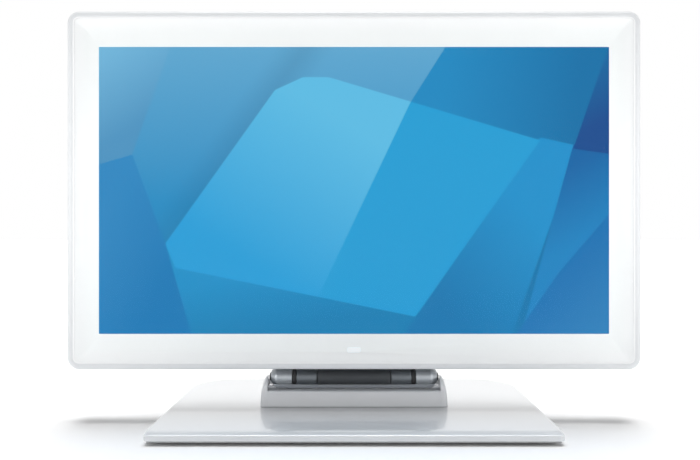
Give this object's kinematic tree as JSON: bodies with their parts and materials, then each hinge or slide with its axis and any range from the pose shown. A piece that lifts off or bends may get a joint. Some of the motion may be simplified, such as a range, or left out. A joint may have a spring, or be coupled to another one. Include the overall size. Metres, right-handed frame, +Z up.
{
  "type": "all-in-one computer",
  "caption": "White all-in-one touch computer: wide glass-fronted display head on a friction barrel hinge, low pedestal and flat glossy base.",
  "frame": {"origin": "on the surface it stands on, under the middle of the base", "axes": "+X to the right facing the screen, +Y from the screen to the back, +Z up"},
  "size_m": [0.386, 0.173, 0.2777],
  "materials": {
    "white_housing": "satin, fine texture",
    "white_base": "glossy",
    "cover_glass": "polished",
    "screen": "lit display",
    "diffuser": "frosted",
    "foam": "matte",
    "steel": "zinc plated",
    "hinge_grey": "dark satin metal",
    "hinge_dark": "satin black",
    "bracket_paint": "satin",
    "circuit_board": "solder mask",
    "chip": "matte",
    "copper": "bare copper",
    "aluminium": "bare",
    "black_plastic": "matte",
    "rubber": "matte",
    "dark_paint": "matte",
    "light_guide": "frosted"
  },
  "bodies": {
    "stand": {"base_cover": "white_base", "base_weight": "steel", "base_bottom_plate": "dark_paint", "foot_front_left": "rubber", "foot_front_right": "rubber", "foot_rear_left": "rubber", "foot_rear_right": "rubber", "pedestal": "white_base", "hinge_cradle": "hinge_grey", "hinge_sleeve_left": "hinge_grey", "hinge_sleeve_right": "hinge_grey", "hinge_center_cover": "hinge_dark", "hinge_pin": "hinge_dark", "friction_washer_left": "black_plastic", "friction_washer_right": "black_plastic", "pedestal_screw_left": "steel", "pedestal_screw_right": "steel"},
    "head": {"front_glass": "cover_glass", "glass_gasket": "foam", "lcd_panel": "screen", "backlight_unit": "diffuser", "front_frame": "white_housing", "rear_cover": "white_housing", "chassis_plate": "steel", "motherboard": "circuit_board", "processor": "chip", "heat_sink": "aluminium", "heat_pipe": "copper", "fan_housing": "black_plastic", "memory_module": "circuit_board", "ssd_module": "circuit_board", "wireless_card": "circuit_board", "cmos_battery": "steel", "touch_controller": "circuit_board", "speaker_left": "black_plastic", "speaker_right": "black_plastic", "dc_jack": "black_plastic", "usb_port_a": "steel", "usb_port_b": "steel", "ethernet_port": "steel", "video_port": "steel", "status_light": "light_guide", "button_board": "circuit_board", "tilt_bracket": "bracket_paint", "hinge_knuckle_left": "hinge_grey", "hinge_knuckle_right": "hinge_grey", "leaf_screw_left": "steel", "leaf_screw_right": "steel", "bracket_screw_1": "steel", "bracket_screw_2": "steel", "bracket_screw_3": "steel", "bracket_screw_4": "steel", "cover_screw_left": "steel", "cover_screw_right": "steel"},
    "fan_rotor": {"fan_rotor": "black_plastic"},
    "power_button": {"power_button": "dark_paint"},
    "menu_button": {"menu_button": "bracket_paint"},
    "minus_button": {"minus_button": "bracket_paint"},
    "plus_button": {"plus_button": "bracket_paint"}
  },
  "joints": [
    {"name": "head_tilt", "type": "hinge", "parent": "stand", "child": "head", "pos_m": [0, -0.0065, 0.0273], "axis": [-1, 0, 0], "range_deg": [-5, 40]},
    {"name": "fan_spin", "type": "hinge", "parent": "head", "child": "fan_rotor", "pos_m": [0.092, 0, 0.158], "axis": [0, 1, 0], "continuous": true},
    {"name": "power_button_press", "type": "slide", "parent": "head", "child": "power_button", "axis": [0, 0, 1], "range_m": [0, 0.0008], "stiffness_N_per_m": 800, "springref_m": -0.0005},
    {"name": "menu_button_press", "type": "slide", "parent": "head", "child": "menu_button", "axis": [0, 0, 1], "range_m": [0, 0.0008], "stiffness_N_per_m": 800, "springref_m": -0.0005},
    {"name": "minus_button_press", "type": "slide", "parent": "head", "child": "minus_button", "axis": [0, 0, 1], "range_m": [0, 0.0008], "stiffness_N_per_m": 800, "springref_m": -0.0005},
    {"name": "plus_button_press", "type": "slide", "parent": "head", "child": "plus_button", "axis": [0, 0, 1], "range_m": [0, 0.0008], "stiffness_N_per_m": 800, "springref_m": -0.0005}
  ]
}
